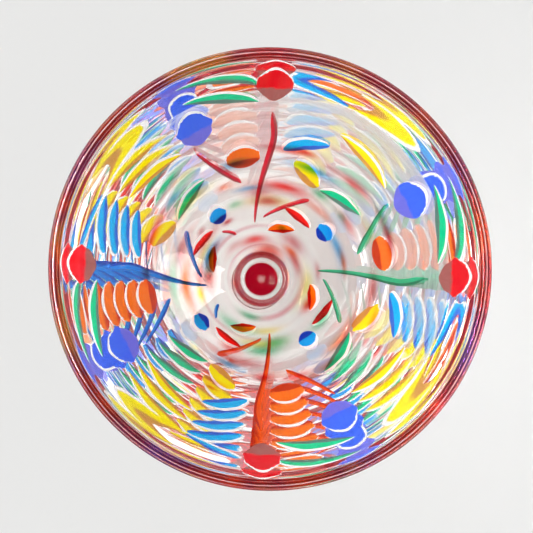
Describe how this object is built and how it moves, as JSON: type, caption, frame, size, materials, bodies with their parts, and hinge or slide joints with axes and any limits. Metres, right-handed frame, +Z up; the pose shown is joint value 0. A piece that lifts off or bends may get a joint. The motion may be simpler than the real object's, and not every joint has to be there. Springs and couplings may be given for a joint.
{
  "type": "footed glass bowl",
  "caption": "Deep footed glass bowl with a ruby lip thread and slim ruby stem, and raised enamel sprays of buds, leaves and vines round the outside.",
  "frame": {"origin": "under the middle of the foot, on the surface that it stands on", "axes": "+Z up along the bowl's axis; +X and +Y across, with a bud of enamel close to each of +X, +Y, -X and -Y"},
  "size_m": [0.12, 0.12, 0.1689],
  "materials": {
    "clear_glass": "clear blown glass, polished by the fire, with faint swirls",
    "ruby_glass": "deep ruby glass, fire polished",
    "enamel_red": "translucent vitreous enamel, glossy, brushed on thick and fired",
    "enamel_scarlet": "translucent vitreous enamel, glossy, brushed on thick and fired",
    "enamel_royal_blue": "translucent vitreous enamel, glossy, brushed on thick and fired",
    "enamel_deep_blue": "translucent vitreous enamel, glossy, brushed on thick and fired",
    "enamel_sky_blue": "translucent vitreous enamel, glossy, brushed on thick and fired",
    "enamel_green": "translucent vitreous enamel, glossy, brushed on thick and fired",
    "enamel_yellow": "translucent vitreous enamel, glossy, brushed on thick and fired",
    "enamel_orange": "translucent vitreous enamel, glossy, brushed on thick and fired",
    "enamel_flame": "translucent vitreous enamel, glossy, brushed on thick and fired",
    "vine_red": "translucent vitreous enamel, glossy, brushed on thick and fired",
    "vine_blue": "translucent vitreous enamel, glossy, brushed on thick and fired",
    "vine_orange": "translucent vitreous enamel, glossy, brushed on thick and fired",
    "vine_green": "translucent vitreous enamel, glossy, brushed on thick and fired"
  },
  "bodies": {
    "root": {"bowl": "clear_glass", "lip_thread": "ruby_glass", "upper_collar": "clear_glass", "stem": "ruby_glass", "lower_collar": "clear_glass", "foot": "clear_glass", "bud_1": "enamel_red", "bud_2": "enamel_red", "bud_3": "enamel_red", "bud_4": "enamel_red", "blue_drop_1": "enamel_royal_blue", "blue_drop_2": "enamel_royal_blue", "blue_drop_3": "enamel_royal_blue", "blue_drop_4": "enamel_royal_blue", "orange_berry_1": "enamel_orange", "orange_berry_2": "enamel_orange", "orange_berry_3": "enamel_orange", "orange_berry_4": "enamel_orange", "yellow_berry_1": "enamel_yellow", "yellow_berry_2": "enamel_yellow", "yellow_berry_3": "enamel_yellow", "yellow_berry_4": "enamel_yellow", "blue_berry_1": "enamel_deep_blue", "blue_berry_2": "enamel_deep_blue", "blue_berry_3": "enamel_deep_blue", "blue_berry_4": "enamel_deep_blue", "upper_leaf_1": "enamel_green", "upper_leaf_2": "enamel_green", "upper_leaf_3": "enamel_green", "upper_leaf_4": "enamel_green", "yellow_leaf_1": "enamel_yellow", "yellow_leaf_2": "enamel_yellow", "yellow_leaf_3": "enamel_yellow", "yellow_leaf_4": "enamel_yellow", "sky_leaf_1": "enamel_sky_blue", "sky_leaf_2": "enamel_sky_blue", "sky_leaf_3": "enamel_sky_blue", "sky_leaf_4": "enamel_sky_blue", "lower_leaf_1": "enamel_green", "lower_leaf_2": "enamel_green", "lower_leaf_3": "enamel_green", "lower_leaf_4": "enamel_green", "red_petal_1": "enamel_scarlet", "red_petal_2": "enamel_scarlet", "red_petal_3": "enamel_scarlet", "red_petal_4": "enamel_scarlet", "orange_petal_1": "enamel_flame", "orange_petal_2": "enamel_flame", "orange_petal_3": "enamel_flame", "orange_petal_4": "enamel_flame", "vine_1": "vine_red", "vine_2": "vine_blue", "vine_3": "vine_orange", "vine_4": "vine_green", "branch_1": "vine_red", "branch_2": "vine_blue", "branch_3": "vine_orange", "branch_4": "vine_green"}
  },
  "joints": []
}
